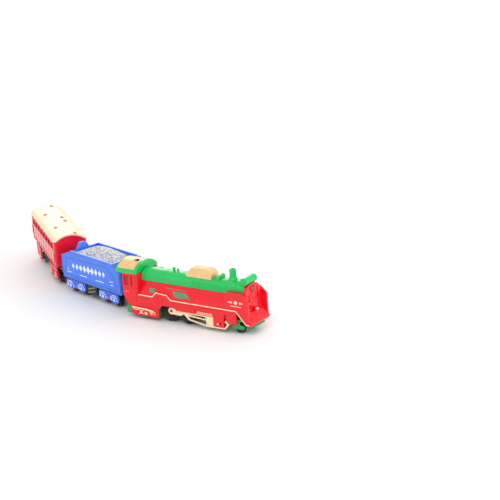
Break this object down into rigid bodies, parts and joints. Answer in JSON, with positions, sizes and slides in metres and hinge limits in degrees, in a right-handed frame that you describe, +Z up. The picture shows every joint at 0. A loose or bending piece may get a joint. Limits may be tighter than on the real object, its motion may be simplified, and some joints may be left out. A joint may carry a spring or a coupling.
{
  "type": "battery-powered toy steam train with tender and coach",
  "caption": "Toy streamlined steam locomotive in red and green with a blue tender of light grey coal and a red coach with a pale gold roof, standing on a curve.",
  "frame": {"origin": "centre of the bounding box's footprint, on the floor the wheels stand on", "axes": "+X is the way the locomotive points, +Y is its left-hand side seen from the driver's seat, +Z is up; the tender and coach trail behind along a curve towards +Y"},
  "size_m": [0.3732, 0.1492, 0.0603],
  "materials": {
    "battery": "printed sleeve, plain dark with one band",
    "black_plastic": "satin black, dust in the corners",
    "blue_body": "gloss moulded royal blue",
    "brass": "bright rolled contact strip",
    "coach_roof": "pale champagne-gold lacquer over plastic",
    "coal": "light grey moulding with dark and white speckle",
    "gear_white": "natural acetal",
    "gold_trim": "pale metallic-gold lacquer over plastic, satin to gloss",
    "green_chassis": "semi-gloss darker green",
    "green_top": "gloss moulded mid-green",
    "lens": "translucent green",
    "red_body": "high-gloss moulded red with a slight orange-peel and fine rub marks",
    "steel": "zinc-plated",
    "tyre": "soft black rubber ring",
    "white_plastic": "gloss white"
  },
  "bodies": {
    "locomotive": {"loco_shell": "red_body", "boiler_top": "green_top", "chimney": "green_top", "dome_casing": "gold_trim", "cab_roof_frame": "green_top", "cab_roof_panel": "gold_trim", "headlight_lens": "lens", "front_hook_pin": "white_plastic", "loco_chassis": "green_chassis", "battery_cover": "green_chassis", "battery_cover_screw": "steel", "shell_screw_front": "steel", "shell_screw_rear": "steel", "leading_truck_screw": "steel", "aa_battery": "battery", "battery_contact_front": "brass", "battery_contact_spring": "steel", "drive_motor": "steel", "slide_guide_left": "gold_trim", "slide_guide_right": "gold_trim", "trailing_frame": "red_body"},
    "power_switch": {"power_switch_slider": "black_plastic"},
    "rear_driver": {"driver_wheelset_rear": "black_plastic", "axle_gear": "gear_white", "traction_tyre_left": "tyre", "traction_tyre_right": "tyre"},
    "front_driver": {"driver_wheelset_front": "black_plastic"},
    "rod_left": {"coupling_rod_left": "gold_trim"},
    "rod_right": {"coupling_rod_right": "gold_trim"},
    "idler": {"idler_gear": "gear_white"},
    "pinion": {"motor_pinion": "brass"},
    "leading_truck": {"leading_truck_frame": "green_chassis"},
    "leading_wheels": {"leading_wheelset": "black_plastic"},
    "trailing_wheels": {"trailing_wheelset": "black_plastic"},
    "drawbar_front": {"drawbar_front": "black_plastic"},
    "tender": {"tender_body": "blue_body", "coal_load": "coal", "tender_floor": "black_plastic", "tender_screw": "steel"},
    "drawbar_rear": {"drawbar_rear": "black_plastic"},
    "coach": {"coach_body": "red_body", "coach_roof": "coach_roof", "coach_floor": "black_plastic"},
    "tender_front_bogie": {"tender_front_bogie_frame": "blue_body"},
    "tender_front_axle_1": {"tender_front_wheelset_1": "black_plastic"},
    "tender_front_axle_2": {"tender_front_wheelset_2": "black_plastic"},
    "tender_rear_bogie": {"tender_rear_bogie_frame": "blue_body"},
    "tender_rear_axle_1": {"tender_rear_wheelset_1": "black_plastic"},
    "tender_rear_axle_2": {"tender_rear_wheelset_2": "black_plastic"},
    "coach_front_bogie": {"coach_front_bogie_frame": "red_body"},
    "coach_front_axle_1": {"coach_front_wheelset_1": "black_plastic"},
    "coach_front_axle_2": {"coach_front_wheelset_2": "black_plastic"},
    "coach_rear_bogie": {"coach_rear_bogie_frame": "red_body"},
    "coach_rear_axle_1": {"coach_rear_wheelset_1": "black_plastic"},
    "coach_rear_axle_2": {"coach_rear_wheelset_2": "black_plastic"}
  },
  "joints": [
    {"name": "power_switch_slide", "type": "slide", "parent": "locomotive", "child": "power_switch", "axis": [1, 0, 0], "range_m": [-0.0025, 0]},
    {"name": "rear_driver_spin", "type": "hinge", "parent": "locomotive", "child": "rear_driver", "pos_m": [0.08739, -0.05659, 0.0105], "axis": [0, 1, 0], "continuous": true},
    {"name": "front_driver_spin", "type": "hinge", "parent": "locomotive", "child": "front_driver", "pos_m": [0.10889, -0.05659, 0.0105], "axis": [0, 1, 0], "continuous": true},
    {"name": "rod_left_pin", "type": "hinge", "parent": "rear_driver", "child": "rod_left", "pos_m": [0.09219, -0.07179, 0.0132], "axis": [0, 1, 0], "continuous": true},
    {"name": "rod_right_pin", "type": "hinge", "parent": "rear_driver", "child": "rod_right", "pos_m": [0.08259, -0.04139, 0.0078], "axis": [0, 1, 0], "continuous": true},
    {"name": "idler_spin", "type": "hinge", "parent": "locomotive", "child": "idler", "pos_m": [0.07558, -0.05659, 0.01641], "axis": [0, 1, 0], "continuous": true},
    {"name": "motor_pinion_spin", "type": "hinge", "parent": "locomotive", "child": "pinion", "pos_m": [0.06499, -0.05659, 0.0185], "axis": [0, 1, 0], "continuous": true},
    {"name": "leading_truck_swivel", "type": "hinge", "parent": "locomotive", "child": "leading_truck", "pos_m": [0.16989, -0.05659, 0.012], "axis": [0, 0, 1], "range_deg": [-5, 5]},
    {"name": "leading_wheel_spin", "type": "hinge", "parent": "leading_truck", "child": "leading_wheels", "pos_m": [0.16989, -0.05659, 0.0055], "axis": [0, 1, 0], "continuous": true},
    {"name": "trailing_wheel_spin", "type": "hinge", "parent": "locomotive", "child": "trailing_wheels", "pos_m": [0.05639, -0.05659, 0.005], "axis": [0, 1, 0], "continuous": true},
    {"name": "drawbar_front_swing", "type": "hinge", "parent": "locomotive", "child": "drawbar_front", "pos_m": [0.05039, -0.05659, 0.0075], "axis": [0, 0, 1], "range_deg": [-6, 26]},
    {"name": "tender_swing", "type": "hinge", "parent": "drawbar_front", "child": "tender", "pos_m": [0.02318, -0.04533, 0.0075], "axis": [0, 0, 1], "range_deg": [-12, 10]},
    {"name": "drawbar_rear_swing", "type": "hinge", "parent": "tender", "child": "drawbar_rear", "pos_m": [-0.06171, -0.02214, 0.0075], "axis": [0, 0, 1], "range_deg": [-0.5, 12]},
    {"name": "coach_swing", "type": "hinge", "parent": "drawbar_rear", "child": "coach", "pos_m": [-0.08205, -0.01362, 0.0075], "axis": [0, 0, 1], "range_deg": [-0.5, 20]},
    {"name": "tender_front_bogie_swivel", "type": "hinge", "parent": "tender", "child": "tender_front_bogie", "pos_m": [0.00581, -0.04059, 0.01], "axis": [0, 0, 1], "range_deg": [-7, 7]},
    {"name": "tender_front_axle_1_spin", "type": "hinge", "parent": "tender_front_bogie", "child": "tender_front_axle_1", "pos_m": [0.01498, -0.04309, 0.00625], "axis": [0.2635, 0.9646, 0], "continuous": true},
    {"name": "tender_front_axle_2_spin", "type": "hinge", "parent": "tender_front_bogie", "child": "tender_front_axle_2", "pos_m": [-0.00335, -0.03808, 0.00625], "axis": [0.2635, 0.9646, 0], "continuous": true},
    {"name": "tender_rear_bogie_swivel", "type": "hinge", "parent": "tender", "child": "tender_rear_bogie", "pos_m": [-0.04917, -0.02556, 0.01], "axis": [0, 0, 1], "range_deg": [-7, 7]},
    {"name": "tender_rear_axle_1_spin", "type": "hinge", "parent": "tender_rear_bogie", "child": "tender_rear_axle_1", "pos_m": [-0.04001, -0.02807, 0.00625], "axis": [0.2635, 0.9646, 0], "continuous": true},
    {"name": "tender_rear_axle_2_spin", "type": "hinge", "parent": "tender_rear_bogie", "child": "tender_rear_axle_2", "pos_m": [-0.05834, -0.02306, 0.00625], "axis": [0.2635, 0.9646, 0], "continuous": true},
    {"name": "coach_front_bogie_swivel", "type": "hinge", "parent": "coach", "child": "coach_front_bogie", "pos_m": [-0.09536, -0.00305, 0.01], "axis": [0, 0, 1], "range_deg": [-11, 5]},
    {"name": "coach_front_axle_1_spin", "type": "hinge", "parent": "coach_front_bogie", "child": "coach_front_axle_1", "pos_m": [-0.08762, -0.00856, 0.00625], "axis": [0.58, 0.8146, 0], "continuous": true},
    {"name": "coach_front_axle_2_spin", "type": "hinge", "parent": "coach_front_bogie", "child": "coach_front_axle_2", "pos_m": [-0.1031, 0.00246, 0.00625], "axis": [0.58, 0.8146, 0], "continuous": true},
    {"name": "coach_rear_bogie_swivel", "type": "hinge", "parent": "coach", "child": "coach_rear_bogie", "pos_m": [-0.15645, 0.04545, 0.01], "axis": [0, 0, 1], "range_deg": [-5, 11]},
    {"name": "coach_rear_axle_1_spin", "type": "hinge", "parent": "coach_rear_bogie", "child": "coach_rear_axle_1", "pos_m": [-0.14933, 0.03916, 0.00625], "axis": [0.662, 0.7495, 0], "continuous": true},
    {"name": "coach_rear_axle_2_spin", "type": "hinge", "parent": "coach_rear_bogie", "child": "coach_rear_axle_2", "pos_m": [-0.16357, 0.05174, 0.00625], "axis": [0.662, 0.7495, 0], "continuous": true}
  ],
  "couplings": [
    {"joint": "front_driver_spin", "follows": "rear_driver_spin", "ratio": 1},
    {"joint": "rod_left_pin", "follows": "rear_driver_spin", "ratio": -1},
    {"joint": "rod_right_pin", "follows": "rear_driver_spin", "ratio": -1},
    {"joint": "idler_spin", "follows": "rear_driver_spin", "ratio": -2},
    {"joint": "motor_pinion_spin", "follows": "rear_driver_spin", "ratio": 5.7143}
  ]
}
